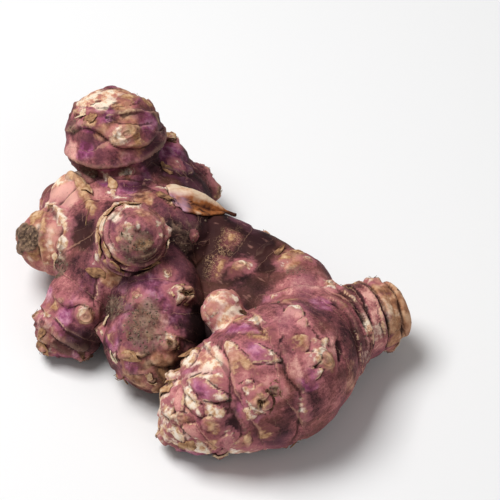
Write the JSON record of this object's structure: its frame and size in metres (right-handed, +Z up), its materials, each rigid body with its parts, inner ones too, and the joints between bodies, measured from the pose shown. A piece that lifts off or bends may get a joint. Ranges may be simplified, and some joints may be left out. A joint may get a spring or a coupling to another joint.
{
  "type": "jerusalem artichoke",
  "caption": "Branched, knobbly tuber with a ringed neck, node rings and buds, lying as lifted from the ground.",
  "frame": {"origin": "on the resting plane, under the middle of the tuber's box", "axes": "+Z up from the resting plane, +X towards the ringed neck along the longest extent, -Y towards the main body's side"},
  "size_m": [0.1314, 0.127, 0.0534],
  "materials": {
    "tuber_skin": "matt, purplish-brown natural tuber skin with cream scars"
  },
  "bodies": {
    "root": {"tuber": "tuber_skin"}
  },
  "joints": []
}
